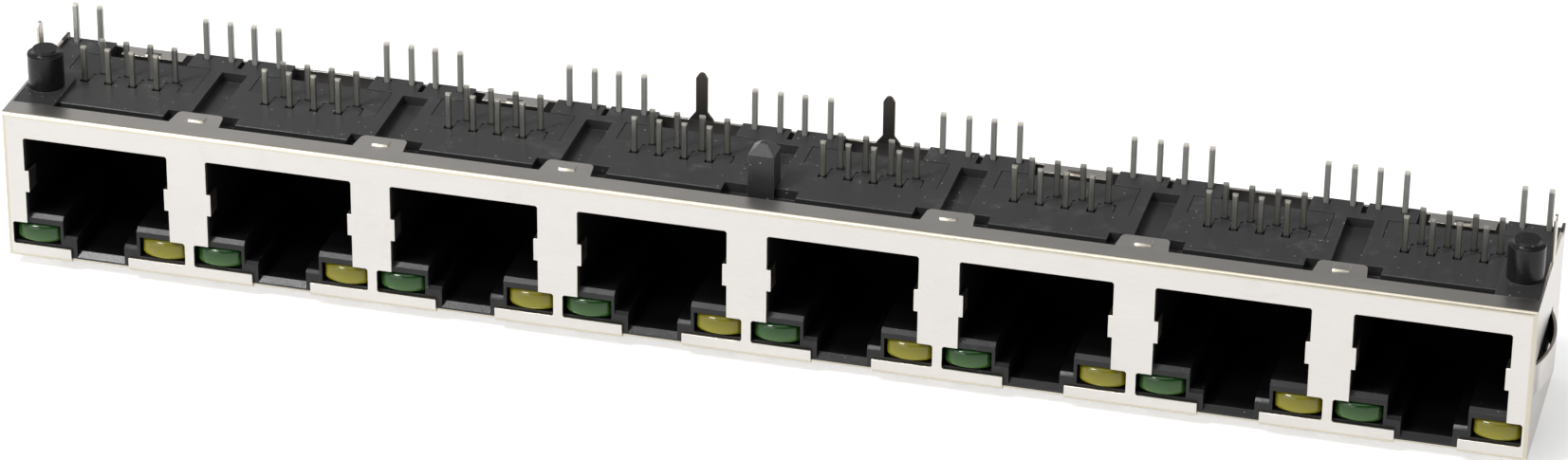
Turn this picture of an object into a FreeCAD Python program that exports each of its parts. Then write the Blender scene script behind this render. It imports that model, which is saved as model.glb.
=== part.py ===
import FreeCAD, Part

import math
import os
import re

import Sketcher
from FreeCAD import Rotation, Vector

# Eight modular sockets in one shielded housing that solders to a circuit board. The board side
# faces up (+Z), the latch side faces down and the plugs go in along +Y from the front face (Y = 0).
# While the pieces are drawn, Z = 0 is the outer face of the shield on the board side.

SIZES = {
    "port_count": (8, "sockets in the row"),
    "port_pitch": (15.24, "from one socket to the next"),
    "sheet": (0.25, "thickness of the shield's sheet metal"),
    "fit_gap": (0.05, "clearance between the shield and the moulding"),
    "shield_width": (122.2, "outside, across the two end faces"),
    "shield_height": (12.85, "outside, board side to latch side"),
    "shield_depth": (14.95, "front face to the back of the rear shield"),
    "bend_radius": (0.35, "outside radius of the folds"),
    "flange_depth": (2.1, "board-side flange, from the front face"),
    "wall_depth": (13.35, "end walls of the front shield"),
    "tab_reach": (4.05, "back edge of the board-side tabs"),
    "tab_width": (3.7, "board-side tab at its back edge"),
    "tab_flare": (0.25, "how much wider each side of the tab is at its root"),
    "tab_corner": (0.45, "corner radius of a tab"),
    "window_width": (1.3, "embossed window in a tab"),
    "window_depth": (0.9, "embossed window, front to back"),
    "window_edge": (0.55, "tab metal behind the window"),
    "emboss": (0.12, "height of the window's lip"),
    "mouth_width": (12.03, "plug opening in the front face"),
    "mouth_top": (2.1, "plug opening below the board side"),
    "mouth_corner": (0.14, "broken corners of the opening and of the lamp windows"),
    "lamp_reach": (7.24, "outer edge of a lamp window from the socket's middle"),
    "lamp_top": (9.7, "upper edge of a lamp window"),
    "lamp_bottom": (11.65, "lower edge of a lamp window"),
    "latch_cut": (4.84, "cut in the front face for the plug's latch"),
    "latch_cut_depth": (0.55, "how far that cut runs into the latch-side face"),
    "side_tab_top": (5.0, "upper end of the grounding tabs in the opening"),
    "side_tab_height": (1.9, "grounding tab, along Z"),
    "side_tab_depth": (1.6, "grounding tab, along Y"),
    "finger_width": (2.5, "spring finger"),
    "finger_root": (1.1, "front end of a finger's slot"),
    "finger_length": (9.2, "chord of a finger's bow"),
    "finger_rise": (0.88, "height of a finger's bow"),
    "finger_gap": (0.3, "slot left open round a finger"),
    "finger_drop": (5.1, "upper edge of the fingers on the end faces"),
    "end_finger_inset": (2.6, "end fingers of the latch side, in from the end faces"),
    "ground_width": (0.9, "ground tails of the end walls, along Y"),
    "ground_y": (8.75, "middle of those tails"),
    "ground_top": (3.85, "their tips above the board side"),
    "surface_drop": (0.3, "board-side surface of the moulding below the flange's outer face"),
    "step_drop": (1.15, "floor of the troughs and the front groove"),
    "groove_back": (2.95, "back wall of the front groove"),
    "chamfer_back": (3.5, "back edge of the chamfer behind the groove"),
    "chamfer_drop": (0.8, "front edge of that chamfer"),
    "trough_width": (2.15, "trough between two sockets"),
    "trough_back": (12.0, "end wall of the troughs"),
    "notch_width": (5.94, "notch round a tab"),
    "notch_back": (4.6, "back wall of that notch"),
    "cavity_width": (11.95, "socket inside the moulding"),
    "cavity_floor": (9.0, "socket floor on the latch side"),
    "cavity_back": (12.2, "rear wall of a socket"),
    "shoulder_width": (6.2, "space between the two lamp frames"),
    "shoulder_z": (10.7, "shoulders beside the latch slot"),
    "slot_width": (4.0, "latch slot"),
    "slot_floor": (11.97, "floor of the latch slot"),
    "frame_bevel": (0.33, "bevel on the front edge of the socket floor"),
    "shoulder_bevel": (0.27, "bevel on the front edge of the shoulders"),
    "slot_bevel": (0.45, "bevel on the front edge of the slot floor"),
    "bay_width": (11.1, "bay for the contact insert"),
    "bay_back": (12.35, "back wall of the bay"),
    "comb_left": (9.3, "front wall of the bay at its left end"),
    "comb_right": (7.7, "front wall of the bay at its right end"),
    "tooth_tip": (9.0, "tips of the comb's teeth"),
    "tooth_width": (1.3, "tooth of the comb"),
    "slot_root": (7.35, "front ends of the slots between the teeth"),
    "recess_width": (6.84, "recess between the lugs at the back"),
    "recess_drop": (1.9, "floor of that recess"),
    "lug_gap": (0.44, "slit between two neighbouring lugs"),
    "lug_front": (12.9, "front end of that slit"),
    "insert_gap": (0.06, "clearance round the contact insert"),
    "insert_drop": (0.34, "top of the insert"),
    "guide_front": (11.0, "front of the guide wall behind the spring tips"),
    "guide_depth": (0.7, "guide wall, front to back"),
    "guide_width": (8.6, "guide wall"),
    "guide_bottom": (4.6, "lower edge of the guide wall"),
    "contacts": (8, "contacts in a socket"),
    "contact_pitch": (1.016, "from one contact to the next"),
    "wire_width": (0.46, "contact wire, along the row"),
    "wire_thick": (0.3, "contact wire, the other way"),
    "wire_gap": (0.08, "clearance round a wire"),
    "tail_front": (7.7, "front row of tails"),
    "tail_back": (9.3, "back row of tails"),
    "tail_top": (2.7, "tips of the tails above the board side"),
    "run_drop": (2.35, "middle of the wires' forward run"),
    "turn_front": (2.6, "front of the wires' turn"),
    "arm_start": (3.0, "upper edge of the spring arm at the turn"),
    "arm_tip_y": (10.9, "end of the spring arm"),
    "arm_tip_z": (4.4, "underside of the arm's end"),
    "lamp_x": (5.31, "middle of a lamp from the socket's middle"),
    "lamp_width": (3.82, "lamp body, along the row"),
    "lamp_height": (1.6, "lamp body, along Z"),
    "lamp_length": (6.4, "lamp body, along Y"),
    "lens_radius": (3.0, "bow of the lamp's front"),
    "lamp_gap": (0.05, "clearance round a lamp"),
    "lead_size": (0.45, "lamp lead, square"),
    "lead_inner": (4.54, "inner lead from the socket's middle"),
    "lead_outer": (6.62, "outer lead from the socket's middle"),
    "lead_y": (14.09, "row of lamp leads"),
    "lead_z": (10.65, "level of the leads inside the moulding"),
    "lead_top": (3.1, "tips of the lamp leads above the board side"),
    "lead_gap": (0.08, "clearance round a lead"),
    "rear_top": (0.6, "upper edge of the rear shield below the board side"),
    "hook_width": (5.2, "tab folded forward from the rear shield"),
    "hook_reach": (1.5, "that tab, from the back"),
    "blade_width": (0.95, "ground blade of the rear shield"),
    "blade_flare": (2.1, "its root"),
    "blade_neck": (0.75, "height of the flare"),
    "blade_top": (3.6, "tips of the blades above the board side"),
    "peg_radius": (1.45, "round locating pegs"),
    "peg_inset": (1.8, "peg's axis in from the end face"),
    "peg_y": (5.5, "round pegs behind the front face"),
    "peg_pad": (0.35, "seat round a peg, beyond its wall"),
    "peg_top": (3.3, "tips of the pegs above the board side"),
    "peg_chamfer": (0.75, "chamfer of the peg tips"),
    "key_size": (2.1, "square locating peg in the middle"),
    "key_y": (5.2, "that peg behind the front face"),
}

doc = FreeCAD.newDocument("GangedJack")
sheet = doc.addObject("Spreadsheet::Sheet", "Sizes")


def fill_sheet():
    for row, (alias, (number, note)) in enumerate(SIZES.items(), start=1):
        sheet.set(f"A{row}", note)
        sheet.set(f"B{row}", str(number))
        sheet.setAlias(f"B{row}", alias)
    doc.recompute()


def ref(text):
    """An expression in plain size names, with each name pointed at the sheet."""
    return re.sub(r"[a-z]\w*", lambda word: f"Sizes.{word[0]}" if word[0] in SIZES else word[0], text)


def value(text):
    return float(sheet.evalExpression(ref(text)))


def bind(item, **expressions):
    """Bind properties to the sheet; a double underscore stands for the dot of a sub-property."""
    for prop, text in expressions.items():
        item.setExpression(prop.replace("__", "."), ref(text))


def plane(body, role):
    return next(item for item in body.Origin.OriginFeatures if item.Role == role)


def port_x(index):
    """Middle of a socket, or of a boundary for a half index, counted from zero."""
    return f"( {index} - ( port_count - 1 ) / 2 ) * port_pitch"


def new_body(name):
    body = doc.addObject("PartDesign::Body", name)
    body.Label = name
    return body


def pin_down(sketch, bound):
    """Dimensions of a sketch: kind, what it measures and the expression that sets it."""
    for kind, what, text in bound:
        index = sketch.addConstraint(Sketcher.Constraint(kind, *what, value(text)))
        sketch.setExpression(f"Constraints[{index}]", ref(text))


def draw_loop(sketch, corners):
    """Lines through the corners, each corner held by two bound distances from the origin."""
    first = sketch.GeometryCount
    spots = [Vector(value(across), value(up), 0) for across, up in corners]
    count = len(spots)
    for number in range(count):
        sketch.addGeometry(Part.LineSegment(spots[number], spots[(number + 1) % count]), False)
    for number in range(count):
        after = first + (number + 1) % count
        sketch.addConstraint(Sketcher.Constraint("Coincident", first + number, 2, after, 1))
    for number, (across, up) in enumerate(corners, start=first):
        pin_down(sketch, [("DistanceX", (-1, 1, number, 1), across),
                          ("DistanceY", (-1, 1, number, 1), up)])


def attach(body, role, name, level):
    """An empty sketch on one of the body's own planes, raised along the plane's normal."""
    sketch = body.newObject("Sketcher::SketchObject", name)
    sketch.AttachmentSupport = [(plane(body, role), "")]
    sketch.MapMode = "FlatFace"
    bind(sketch, AttachmentOffset__Base__z=level)
    return sketch


def outline(body, role, name, loops, level="0"):
    sketch = attach(body, role, name, level)
    for corners in loops:
        draw_loop(sketch, corners)
    return sketch


def box_corners(left, right, low, high):
    return [(left, low), (right, low), (right, high), (left, high)]


def circle(body, role, name, spots, radius, level="0"):
    sketch = attach(body, role, name, level)
    for across, up in spots:
        middle = Vector(value(across), value(up), 0)
        number = sketch.addGeometry(Part.Circle(middle, Vector(0, 0, 1), value(radius)), False)
        pin_down(sketch, [("DistanceX", (-1, 1, number, 3), across),
                          ("DistanceY", (-1, 1, number, 3), up), ("Radius", (number,), radius)])
    return sketch


def feature(body, kind, sketch, name, length, both=False, reverse=False):
    item = body.newObject(f"PartDesign::{kind}", name)
    item.Profile = sketch
    item.Refine = False
    item.Type = "Length"
    item.SideType = "Symmetric" if both else "One side"
    item.Reversed = reverse
    bind(item, Length=length)
    before = body.Shape.Volume if body.Shape and not body.Shape.isNull() else 0.0
    body.Tip = item
    doc.recompute()
    after = item.Shape.Volume
    if (kind == "Pad" and after <= before) or (kind == "Pocket" and after >= before):
        raise RuntimeError(f"{body.Name}.{name} changed nothing")
    return item


def pad(body, sketch, name, length, **more):
    return feature(body, "Pad", sketch, name, length, **more)


def pocket(body, sketch, name, length, **more):
    return feature(body, "Pocket", sketch, name, length, **more)


def repeat(body, original, name, count, step, axis="X_Axis"):
    """Copies of a feature along an axis; the length bound is the run from first to last."""
    pattern = body.newObject("PartDesign::LinearPattern", name)
    pattern.Originals = [original]
    pattern.Direction = (plane(body, axis), [""])
    pattern.Mode = "Extent"
    pattern.Refine = False
    bind(pattern, Length=f"( {count} - 1 ) * ( {step} )", Occurrences=count)
    body.Tip = pattern
    doc.recompute()
    return pattern


def mirror(body, original, name, role="YZ_Plane"):
    copy = body.newObject("PartDesign::Mirrored", name)
    copy.Originals = [original]
    copy.MirrorPlane = (plane(body, role), [""])
    copy.Refine = False
    body.Tip = copy
    doc.recompute()
    return copy


def dress(body, kind, name, size, test, **more):
    """A fillet or chamfer on the tip's edges that pass the test."""
    base = body.Tip
    edges = [f"Edge{number}" for number, edge in enumerate(base.Shape.Edges, start=1) if test(edge)]
    if not edges:
        raise RuntimeError(f"{name} finds no edge")
    item = body.newObject(f"PartDesign::{kind}", name)
    item.Base = (base, edges)
    bind(item, **{"Radius" if kind == "Fillet" else "Size": size})
    body.Tip = item
    doc.recompute()
    return item


def along(edge, axis):
    ends = [vertex.Point for vertex in edge.Vertexes]
    if len(ends) != 2:
        return False
    run = ends[1] - ends[0]
    others = [part for part in "xyz" if part != axis]
    return abs(getattr(run, axis)) > 1e-6 and all(abs(getattr(run, part)) < 1e-6 for part in others)


def near(edge, **spots):
    middle = edge.BoundBox.Center
    return all(abs(getattr(middle, axis) - value(text)) < 1e-4 for axis, text in spots.items())


def bow(body, role, name, wall, sign, level, upright):
    """Section of a spring finger: two arcs on one centre, from its root to its free end.

    wall is the outer face it bows away from and sign the way it bows. The finger runs along the
    sketch's first axis, or along the second one where upright is true.
    """
    radius = "( ( finger_length / 2 ) ^ 2 + finger_rise ^ 2 ) / ( 2 * finger_rise )"
    inner = f"{radius} - sheet"
    along_run, off_wall = "finger_root + finger_length / 2", f"{wall} + {sign} * ( finger_rise - {radius} )"
    centre = (off_wall, along_run) if upright else (along_run, off_wall)
    middle = Vector(value(centre[0]), value(centre[1]), 0)
    aim = 0.0 if upright else sign * math.pi / 2
    sweep = math.asin(value("finger_length / 2") / value(radius))
    sketch = attach(body, role, name, level)
    for size in (radius, inner):
        ring = Part.Circle(middle, Vector(0, 0, 1), value(size))
        sketch.addGeometry(Part.ArcOfCircle(ring, aim - sweep, aim + sweep), False)
    for angle in (aim - sweep, aim + sweep):
        ray = Vector(math.cos(angle), math.sin(angle), 0)
        start, end = middle + ray * value(radius), middle + ray * value(inner)
        sketch.addGeometry(Part.LineSegment(start, end), False)
    sketch.addConstraint(Sketcher.Constraint("Coincident", 0, 3, 1, 3))
    run = "DistanceY" if upright else "DistanceX"
    for end, side in ((1, "-"), (2, "+")):
        line = end + 1
        sketch.addConstraint(Sketcher.Constraint("Coincident", 0, end, line, 1))
        sketch.addConstraint(Sketcher.Constraint("Coincident", 1, end, line, 2))
        sketch.addConstraint(Sketcher.Constraint("PointOnObject", 0, 3, line))
        pin_down(sketch, [(run, (-1, 1, 0, end), f"{along_run} {side} finger_length / 2")])
    pin_down(sketch, [("DistanceX", (-1, 1, 0, 3), centre[0]), ("DistanceY", (-1, 1, 0, 3), centre[1]),
                      ("Radius", (0,), radius), ("Radius", (1,), inner)])
    return sketch


def comb_outline(gap):
    """Plan of the bay, or of the insert in it where gap is its clearance.

    The front wall is a comb: slots reach forward round the front tails, and teeth stand before the
    back tails, their tips bevelled on the bay alone. The insert's own fingers end just behind the
    front tails. The left end of the wall lies further back than the right.
    """
    slot = f"( 2 * contact_pitch - tooth_width ) / 2 - {gap}"
    tooth = f"tooth_width / 2 + {gap}"
    side, back = f"bay_width / 2 - {gap}", f"bay_back - {gap}"
    root = "slot_root" if gap == "0" else "tail_front + wire_thick / 2 + wire_gap"
    tip = f"tooth_tip + {gap}"
    bevel = "tooth_width / 4"
    cut_tips = gap == "0"
    corners = [(f"-( {side} )", back), (f"-( {side} )", f"comb_left + {gap}")]
    corners.append((f"-( contacts - 1 ) / 2 * contact_pitch - ( {slot} )", f"comb_left + {gap}"))
    pairs = SIZES["contacts"][0] // 2
    for pair in range(pairs):
        middle = f"( {2 * pair} - ( contacts - 1 ) / 2 ) * contact_pitch"
        corners.append((f"{middle} - ( {slot} )", root))
        corners.append((f"{middle} + ( {slot} )", root))
        middle = f"( {2 * pair + 1} - ( contacts - 1 ) / 2 ) * contact_pitch"
        if cut_tips:
            corners.append((f"{middle} - ( {tooth} )", f"{tip} - {bevel}"))
            corners.append((f"{middle} - ( {tooth} ) + {bevel}", tip))
            corners.append((f"{middle} + ( {tooth} ) - {bevel}", tip))
            corners.append((f"{middle} + ( {tooth} )", f"{tip} - {bevel}"))
        else:
            corners.append((f"{middle} - ( {tooth} )", tip))
            corners.append((f"{middle} + ( {tooth} )", tip))
    corners.append((f"{middle} + ( {tooth} )", f"comb_right + {gap}"))
    corners.append((side, f"comb_right + {gap}"))
    corners.append((side, back))
    return corners


def both_sides(corners):
    """A loop and its mirror image across the first axis."""
    return [corners, [(f"-( {across} )", up) for across, up in corners]]


THROUGH = "2 * shield_width"
LEADS_X = "( lead_inner + lead_outer ) / 2"


def build_housing():
    """The black moulding: eight stepped sockets, lamp pockets, combs, lugs and locating pegs."""
    body = new_body("housing")
    half = "( shield_width / 2 - sheet - fit_gap )"
    front, back = "sheet + fit_gap", "shield_depth - sheet"
    base = "-( shield_height - sheet - fit_gap )"
    block = outline(body, "XY_Plane", "HousingPlan", [box_corners(f"-{half}", half, front, back)], base)
    pad(body, block, "HousingBlock", "shield_height - sheet - fit_gap - surface_drop")

    groove = [("flange_depth", "1"), ("flange_depth", "-step_drop"), ("groove_back", "-step_drop"),
              ("groove_back", "-chamfer_drop"), ("chamfer_back", "-surface_drop"), ("chamfer_back", "1")]
    pocket(body, outline(body, "YZ_Plane", "GrooveSection", [groove]), "FrontGroove", THROUGH, both=True)

    first = port_x("0.5")
    trough = box_corners(f"{first} - trough_width / 2", f"{first} + trough_width / 2",
                         "flange_depth", "trough_back")
    notch = box_corners(f"{first} - notch_width / 2", f"{first} + notch_width / 2",
                        "flange_depth", "notch_back")
    slit = box_corners(f"{first} - lug_gap / 2", f"{first} + lug_gap / 2", "lug_front", "shield_depth")
    for name, corners in (("Trough", trough), ("Notch", notch), ("LugSlit", slit)):
        cut = pocket(body, outline(body, "XY_Plane", f"{name}Plan", [corners]), name, "step_drop")
        repeat(body, cut, f"{name}Row", "port_count - 1", "port_pitch")

    peg_x = "shield_width / 2 - peg_inset"
    reach = "( peg_radius + peg_pad )"
    seats = both_sides(box_corners(f"{peg_x} - {reach}", half, "flange_depth", f"peg_y + {reach}"))
    pad(body, outline(body, "XY_Plane", "PegSeatPlan", seats, "-step_drop"), "PegSeats", "step_drop")
    pegs = circle(body, "XY_Plane", "PegPlan", [(peg_x, "peg_y"), (f"-( {peg_x} )", "peg_y")],
                  "peg_radius", "-surface_drop")
    pad(body, pegs, "Pegs", "peg_top + surface_drop")
    key = box_corners("-key_size / 2", "key_size / 2", "key_y - key_size / 2", "key_y + key_size / 2")
    pad(body, outline(body, "XY_Plane", "KeyPlan", [key], "-step_drop"), "Key", "peg_top + step_drop")
    dress(body, "Chamfer", "PegTips", "peg_chamfer",
          lambda edge: abs(edge.BoundBox.ZMin - value("peg_top")) < 1e-6)

    start = port_x("0")
    bay = [(f"{start} + {across}", up) for across, up in comb_outline("0")]
    recess = box_corners(f"{start} - recess_width / 2", f"{start} + recess_width / 2",
                         "bay_back - 2 * wire_thick", "shield_depth")
    for name, corners, depth in (("Bay", bay, "mouth_top + sheet"), ("Recess", recess, "recess_drop")):
        cut = pocket(body, outline(body, "XY_Plane", f"{name}Plan", [corners]), name, depth)
        repeat(body, cut, f"{name}Row", "port_count", "port_pitch")

    right = [("cavity_width / 2", "-mouth_top"), ("cavity_width / 2", "-cavity_floor"),
             ("shoulder_width / 2", "-cavity_floor"), ("shoulder_width / 2", "-shoulder_z"),
             ("slot_width / 2", "-shoulder_z"), ("slot_width / 2", "-slot_floor")]
    socket = [(f"{start} + {across}", up) for across, up in right]
    socket += [(f"{start} - {across}", up) for across, up in reversed(right)]
    cut = pocket(body, outline(body, "XZ_Plane", "SocketSection", [socket]), "Socket", "cavity_back")
    repeat(body, cut, "SocketRow", "port_count", "port_pitch")
    for name, level, size, width in (("FrameBevel", "cavity_floor", "frame_bevel", "cavity_width"),
                                     ("ShoulderBevel", "shoulder_z", "shoulder_bevel", "shoulder_width"),
                                     ("SlotBevel", "slot_floor", "slot_bevel", "slot_width")):
        wedge = [("0", f"-{level}"), (f"{front} + {size}", f"-{level}"),
                 ("0", f"-{level} - ( {front} + {size} )")]
        cut = pocket(body, outline(body, "YZ_Plane", f"{name}Section", [wedge], start),
                     name, width, both=True)
        repeat(body, cut, f"{name}Row", "port_count", "port_pitch")

    lamp, lead = "( lamp_width / 2 + lamp_gap )", "( lead_size / 2 + lead_gap )"
    low, high = "-lead_z - lamp_height / 2 - lamp_gap", "-lead_z + lamp_height / 2 + lamp_gap"
    lamps, channels, holes = [], [], []
    for side in ("+", "-"):
        middle = f"{start} {side} lamp_x"
        lamps.append(box_corners(f"{middle} - {lamp}", f"{middle} + {lamp}", low, high))
        middle = f"{start} {side} {LEADS_X}"
        reach = f"( ( lead_outer - lead_inner ) / 2 + {lead} )"
        channels.append(box_corners(f"{middle} - {reach}", f"{middle} + {reach}",
                                    f"-lead_z - {lead}", f"-lead_z + {lead}"))
        for lead_x in ("lead_inner", "lead_outer"):
            spot = f"{start} {side} {lead_x}"
            holes.append(box_corners(f"{spot} - {lead}", f"{spot} + {lead}",
                                     f"lead_y - {lead}", f"lead_y + {lead}"))
    cuts = (("LampPocket", "XZ_Plane", lamps, "lamp_length + lamp_gap"),
            ("LeadChannel", "XZ_Plane", channels, f"lead_y + {lead}"),
            ("LeadHole", "XY_Plane", holes, f"lead_z + {lead}"))
    for name, role, loops, depth in cuts:
        cut = pocket(body, outline(body, role, f"{name}Section", loops), name, depth)
        repeat(body, cut, f"{name}Row", "port_count", "port_pitch")
    return body


def build_front_shield():
    """Stamped and folded front shield, with its cut-outs, tabs, tails and spring fingers."""
    body = new_body("front_shield")
    half, inside = "( shield_width / 2 )", "( shield_width / 2 - sheet )"
    end = "shield_depth - sheet - fit_gap"
    plan = outline(body, "XY_Plane", "ShieldPlan", [box_corners(f"-{half}", half, "0", end)],
                   "-shield_height")
    pad(body, plan, "ShieldBlock", "shield_height")

    def folded(edge):
        front = near(edge, y="0")
        return front and (along(edge, "x") or along(edge, "z"))
    dress(body, "Fillet", "Folds", "bend_radius", folded)

    hollow = outline(body, "XZ_Plane", "HollowSection",
                     [box_corners(f"-{inside}", inside, "-( shield_height - sheet )", "-sheet")], "-sheet")
    pocket(body, hollow, "Hollow", "shield_depth")
    top = outline(body, "XY_Plane", "BoardSideOpening",
                  [box_corners(f"-{inside}", inside, "flange_depth", "shield_depth")], "sheet")
    pocket(body, top, "BoardSide", "2 * sheet")
    ends = outline(body, "YZ_Plane", "EndWallTrim",
                   [box_corners("wall_depth", "shield_depth", "-( shield_height - sheet )", "sheet")])
    pocket(body, ends, "EndWalls", THROUGH, both=True)

    tail_side, tail_low = "ground_width / 2", "-2 * sheet"
    tail = [(f"ground_y - {tail_side}", tail_low), (f"ground_y + {tail_side}", tail_low),
            (f"ground_y + {tail_side}", "ground_top - ground_width / 3"),
            ("ground_y + ground_width / 5", "ground_top"), ("ground_y - ground_width / 5", "ground_top"),
            (f"ground_y - {tail_side}", "ground_top - ground_width / 3")]
    tails = pad(body, outline(body, "YZ_Plane", "TailSection", [tail], inside), "GroundTail", "sheet")
    mirror(body, tails, "GroundTails")
    add_fingers(body)

    cut = pocket(body, outline(body, "XZ_Plane", "MouthSection", [mouth_outline()], "sheet"),
                 "Mouth", "2 * sheet + fit_gap")
    repeat(body, cut, "MouthRow", "port_count", "port_pitch")
    start = port_x("0")
    dress(body, "Chamfer", "MouthCorners", "mouth_corner", opening_corners())
    latch = box_corners(f"{start} - latch_cut / 2", f"{start} + latch_cut / 2",
                        "-shield_height - sheet", "-lamp_bottom")
    cut = pocket(body, outline(body, "XZ_Plane", "LatchSection", [latch], "sheet"),
                 "LatchCut", "sheet + latch_cut_depth")
    repeat(body, cut, "LatchRow", "port_count", "port_pitch")
    add_side_tabs(body)
    add_board_tabs(body)
    return body


def mouth_outline():
    """Plug opening with a lamp window at each lower corner, for the first socket."""
    start = port_x("0")
    right = [("mouth_width / 2", "-mouth_top"), ("mouth_width / 2", "-lamp_top"),
             ("lamp_reach", "-lamp_top"), ("lamp_reach", "-lamp_bottom")]
    corners = [(f"{start} + {across}", up) for across, up in right]
    return corners + [(f"{start} - {across}", up) for across, up in reversed(right)]


def opening_corners():
    """A test for the outer corners of the plug openings and of their lamp windows."""
    pitch, start = value("port_pitch"), value(port_x("0"))
    spots = [(value(across), -value(level)) for across, level in
             (("mouth_width / 2", "mouth_top"), ("lamp_reach", "lamp_top"), ("lamp_reach", "lamp_bottom"))]

    def test(edge):
        middle = edge.BoundBox.Center
        off = abs((middle.x - start + pitch / 2) % pitch - pitch / 2)
        return along(edge, "y") and any(abs(off - across) < 1e-4 and abs(middle.z - level) < 1e-4
                                        for across, level in spots)
    return test


def add_side_tabs(body):
    """Small tabs bent into each plug opening, to touch the plug's own shield."""
    start = port_x("0")
    outer, face = "( mouth_width / 2 + sheet )", "( cavity_width / 2 - fit_gap )"
    inner = f"( {face} - sheet )"
    right = [(inner, "0"), (outer, "0"), (outer, "sheet"), (face, "sheet"),
             (face, "side_tab_depth"), (inner, "side_tab_depth")]
    loops = [[(f"{start} {side} {across}", up) for across, up in right] for side in ("+", "-")]
    level = "-( side_tab_top + side_tab_height )"
    tabs = pad(body, outline(body, "XY_Plane", "SideTabPlan", loops, level), "SideTab", "side_tab_height")
    repeat(body, tabs, "SideTabRow", "port_count", "port_pitch")


def add_board_tabs(body):
    """Tabs on the flange over the troughs, none at the middle, each with an embossed window."""
    per_side = "( port_count - 2 ) / 2"
    root, wide = "flange_depth - sheet", "( tab_width / 2 + tab_flare )"
    window_back = "tab_reach - window_edge"
    for name, spot in (("Left", "0.5"), ("Right", "port_count / 2 + 0.5")):
        middle = port_x(spot)
        tab = [(f"{middle} - {wide}", root), (f"{middle} + {wide}", root),
               (f"{middle} + tab_width / 2", "tab_reach"), (f"{middle} - tab_width / 2", "tab_reach")]
        lip = box_corners(f"{middle} - window_width / 2", f"{middle} + window_width / 2",
                          f"{window_back} - window_depth", window_back)
        first = pad(body, outline(body, "XY_Plane", f"{name}TabPlan", [tab], "-sheet"),
                    f"{name}Tab", "sheet")
        repeat(body, first, f"{name}TabRow", per_side, "port_pitch")
        raised = pad(body, outline(body, "XY_Plane", f"{name}LipPlan", [lip]), f"{name}Lip", "emboss")
        repeat(body, raised, f"{name}LipRow", per_side, "port_pitch")
    dress(body, "Fillet", "TabCorners", "tab_corner",
          lambda edge: along(edge, "z") and near(edge, y="tab_reach"))


def add_fingers(body):
    """Spring fingers that ground the shield to a panel: one row on the latch side, one each end."""
    side = "( finger_width / 2 + finger_gap )"
    front, back = "finger_root + sheet", "finger_root + finger_length + finger_gap"
    level = "-shield_height + 2 * sheet"
    first, corner = port_x("0.5"), "shield_width / 2 - end_finger_inset"
    slot = box_corners(f"{first} - {side}", f"{first} + {side}", front, back)
    cut = pocket(body, outline(body, "XY_Plane", "SlotPlan", [slot], level), "FingerSlot", "3 * sheet")
    repeat(body, cut, "SlotRow", "port_count - 1", "port_pitch")
    outer = both_sides(box_corners(f"{corner} - {side}", f"{corner} + {side}", front, back))
    pocket(body, outline(body, "XY_Plane", "CornerSlotPlan", outer, level), "CornerSlots", "3 * sheet")
    low = f"-( finger_drop + finger_width + finger_gap )"
    gap = box_corners(front, back, low, "-( finger_drop - finger_gap )")
    pocket(body, outline(body, "YZ_Plane", "EndSlotSection", [gap]), "EndSlots", THROUGH, both=True)

    wall = "-shield_height"
    finger = pad(body, bow(body, "YZ_Plane", "FingerSection", wall, -1, first, False),
                 "Finger", "finger_width", both=True)
    repeat(body, finger, "FingerRow", "port_count - 1", "port_pitch")
    finger = pad(body, bow(body, "YZ_Plane", "CornerFingerSection", wall, -1, corner, False),
                 "CornerFinger", "finger_width", both=True)
    mirror(body, finger, "CornerFingers")
    finger = pad(body, bow(body, "XY_Plane", "EndFingerPlan", "shield_width / 2", 1,
                           "-( finger_drop + finger_width )", True), "EndFinger", "finger_width")
    mirror(body, finger, "EndFingers")


def build_rear_shield():
    """Rear cover: a plate with folded ends, tabs folded forward and two ground blades."""
    body = new_body("rear_shield")
    half, inside = "( shield_width / 2 )", "( shield_width / 2 - sheet )"
    face = outline(body, "XZ_Plane", "RearPlate",
                   [box_corners(f"-{half}", half, "-shield_height", "-rear_top")], "-shield_depth")
    pad(body, face, "Plate", "sheet")
    flap = box_corners(inside, half, "wall_depth + fit_gap", "shield_depth")
    rise = "shield_height - sheet - fit_gap"
    pad(body, outline(body, "XY_Plane", "FlapPlan", both_sides(flap), f"-( {rise} )"), "Flaps", rise)
    reach, deep = "shield_depth - hook_reach", "shield_depth"
    hooks, lips, blades = [], [], []
    for index in ("0", "2", "( port_count - 3 )", "( port_count - 1 )"):
        middle = port_x(index)
        hooks.append(box_corners(f"{middle} - hook_width / 2", f"{middle} + hook_width / 2", reach, deep))
        lips.append(box_corners(f"{middle} - window_width / 2", f"{middle} + window_width / 2",
                                f"{reach} + sheet", f"{reach} + sheet + window_depth / 2"))
    pad(body, outline(body, "XY_Plane", "HookPlan", hooks, "-rear_top - sheet"), "Hooks", "sheet")
    pad(body, outline(body, "XY_Plane", "HookLipPlan", lips, "-rear_top"), "HookLips", "emboss")
    for index in ("( port_count / 2 - 1 )", "( port_count / 2 )"):
        middle = port_x(index)
        right = [("blade_flare / 2", "-rear_top - sheet"), ("blade_flare / 2", "-rear_top"),
                 ("blade_width / 2", "-rear_top + blade_neck"),
                 ("blade_width / 2", "blade_top - blade_width / 2"),
                 ("blade_width / 4", "blade_top - blade_width / 12"), ("0.1 * blade_width", "blade_top")]
        blades.append([(f"{middle} + {across}", up) for across, up in right]
                      + [(f"{middle} - {across}", up) for across, up in reversed(right)])
    pad(body, outline(body, "XZ_Plane", "BladeSection", blades, "-shield_depth"), "Blades", "sheet")
    return body


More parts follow.
